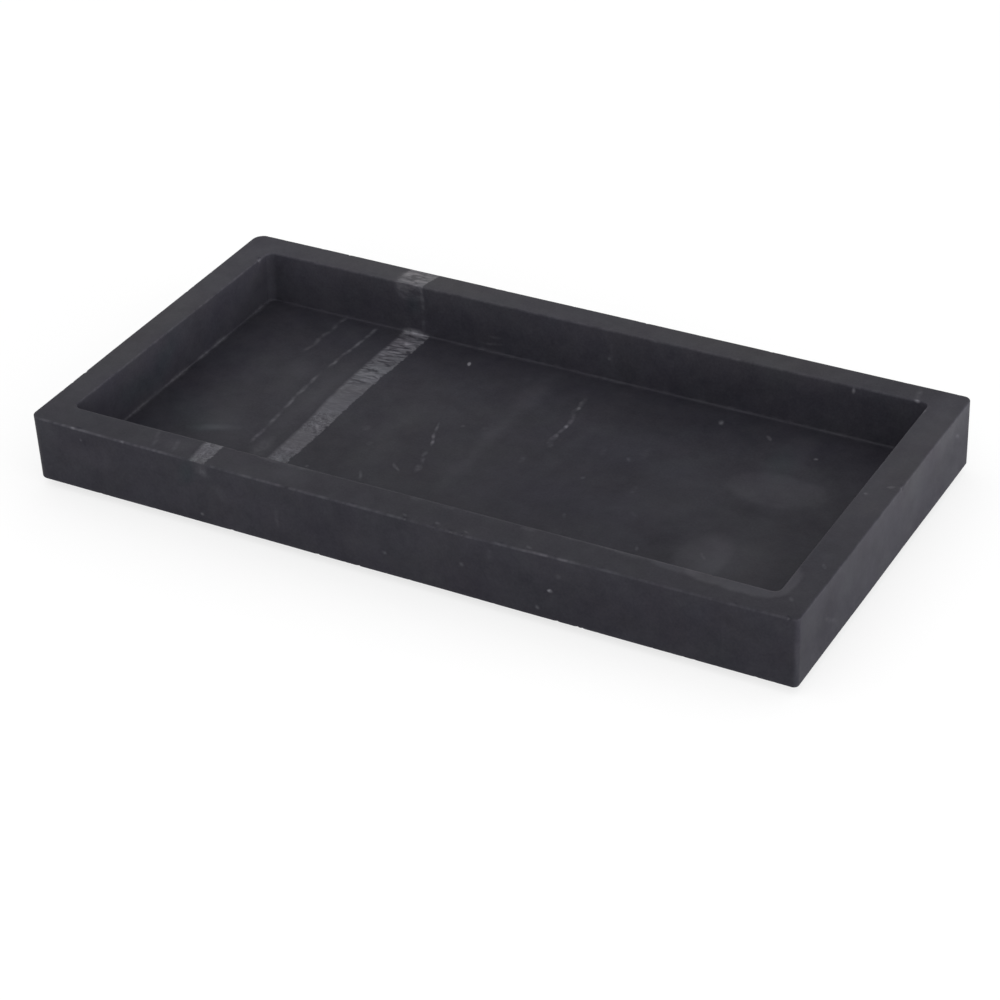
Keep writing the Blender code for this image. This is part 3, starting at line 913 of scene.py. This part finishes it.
# Acrylic foam tape, die-cut: white, with open pores along the cut, their hollows painted darker as shade
def makeTape():
    material, tree, shader = newMaterial("acrylic foam tape", {"IOR": 1.47})
    place = addNode(tree, "TexCoord", output="Object")
    pores = addNode(tree, "TexVoronoi", {}, {"Vector": place, "Scale": 1 / (tape["cells"] * mm)})
    roughness = addNode(tree, "MapRange", eased, [pores, 0, *tape["poreRoughness"], tape["roughness"]])
    tree.links.new(roughness, shader.inputs["Roughness"])
    # Painted shade: each pore is darker towards its middle
    shade = addNode(tree, "MapRange", eased, [pores, 0, *tape["poreShade"], 0])
    colour = addNode(tree, "Mix", {"data_type": "RGBA"}, {
        "Factor_Float": shade, "A_Color": toLinear(tape["colour"]),
        "B_Color": toLinear(tape["poreShadeColour"]),
    }, "Result_Color")
    tree.links.new(colour, shader.inputs["Base Color"])
    strength, depth = tape["bump"]
    bumps = addNode(tree, "Bump", {}, {"Strength": strength, "Distance": depth * mm, "Height": pores})
    tree.links.new(bumps, shader.inputs["Normal"])
    return material


silicone, foamTape = makeSilicone(), makeTape()
for corner, sides in corners.items():
    middle = cornerPlace(*sides)
    newPiece("bumper_" + corner, turnProfile(footProfile(), middle), silicone,
             "foot_" + corner)
    newPiece("tape_disc_" + corner, turnProfile(tapeProfile(), middle), foamTape,
             "adhesive_" + corner)
print("feet and tape made")


# Floor under the object, and the studio's light
studio = {
    "floorSize": 6000,
    "floorDrop": 0.2,                      # below the feet, so that the two surfaces don't coincide
    "floorColour": "#f4f4f4",
    "floorGlow": 0.72,                     # what the camera sees besides the shaded floor
    "floorShare": 0.35,                    # how much of the shading, and so of the shadow, it sees
    "worldStrength": 0.88,                 # as light on the object; the camera sees 1, which is white
    # name, place, aim, width, height, watts
    "lamps": (
        ("rightLamp", (1300, -50, 110), (0, 0, 15), 900, 200, 13.2),
        ("frontLamp", (0, -1500, 300), (0, 0, 15), 1200, 400, 4.2),
    ),
}


# A painted floor, plain and pale, without gloss: it shows nothing but the object's soft shadow
def makeFloor():
    material, tree, shader = newMaterial("pale studio floor", {
        "Roughness": 0.9,
        "Specular IOR Level": 0.0,
    })
    seen = addNode(tree, "LightPath", output="Is Camera Ray")
    white = toLinear(studio["floorColour"])
    shaded = addNode(tree, "Mix", {"data_type": "RGBA"}, {
        "Factor_Float": seen, "A_Color": white,
        "B_Color": tuple(part * studio["floorShare"] for part in white[:3]) + (1,),
    }, "Result_Color")
    tree.links.new(shaded, shader.inputs["Base Color"])
    shader.inputs["Emission Color"].default_value = (1, 1, 1, 1)
    glow = addNode(tree, "Math", multiplying, [seen, studio["floorGlow"]])
    tree.links.new(glow, shader.inputs["Emission Strength"])
    bm = bmesh.new()
    bmesh.ops.create_grid(bm, x_segments=1, y_segments=1, size=studio["floorSize"] / 2 * mm)
    bmesh.ops.translate(bm, vec=(0, 0, -studio["floorDrop"] * mm), verts=bm.verts)
    mesh = bpy.data.meshes.new("studioFloor")
    bm.to_mesh(mesh)
    bm.free()
    mesh.materials.append(material)
    floor = bpy.data.objects.new("studioFloor", mesh)
    bpy.context.scene.collection.objects.link(floor)


def makeWorld():
    world = bpy.data.worlds.new("softStudio")
    world.use_nodes = True
    bpy.context.scene.world = world
    tree = world.node_tree
    background = tree.nodes["Background"]
    background.inputs["Color"].default_value = (1, 1, 1, 1)
    path = addNode(tree, "LightPath").node.outputs
    straight = path["Is Camera Ray"]
    for kind in ("Is Glossy Ray", "Is Transmission Ray"):
        straight = addNode(tree, "Math", {"operation": "MAXIMUM"}, [straight, path[kind]])
    strength = addNode(tree, "MapRange", eased, [straight, 0, 1, studio["worldStrength"], 1])
    tree.links.new(strength, background.inputs["Strength"])


def makeLamps():
    for name, place, aim, width, height, watts in studio["lamps"]:
        data = bpy.data.lights.new(name, "AREA")
        data.shape = "RECTANGLE"
        data.size, data.size_y = width * mm, height * mm
        data.energy = watts
        lamp = bpy.data.objects.new(name, data)
        lamp.location = Vector(place) * mm
        toward = Vector(aim) - Vector(place)
        lamp.rotation_euler = toward.to_track_quat("-Z", "Y").to_euler()
        bpy.context.scene.collection.objects.link(lamp)


makeFloor()
makeWorld()
makeLamps()
bpy.context.scene.view_settings.view_transform = "Standard"
print("floor, world and lamps made")
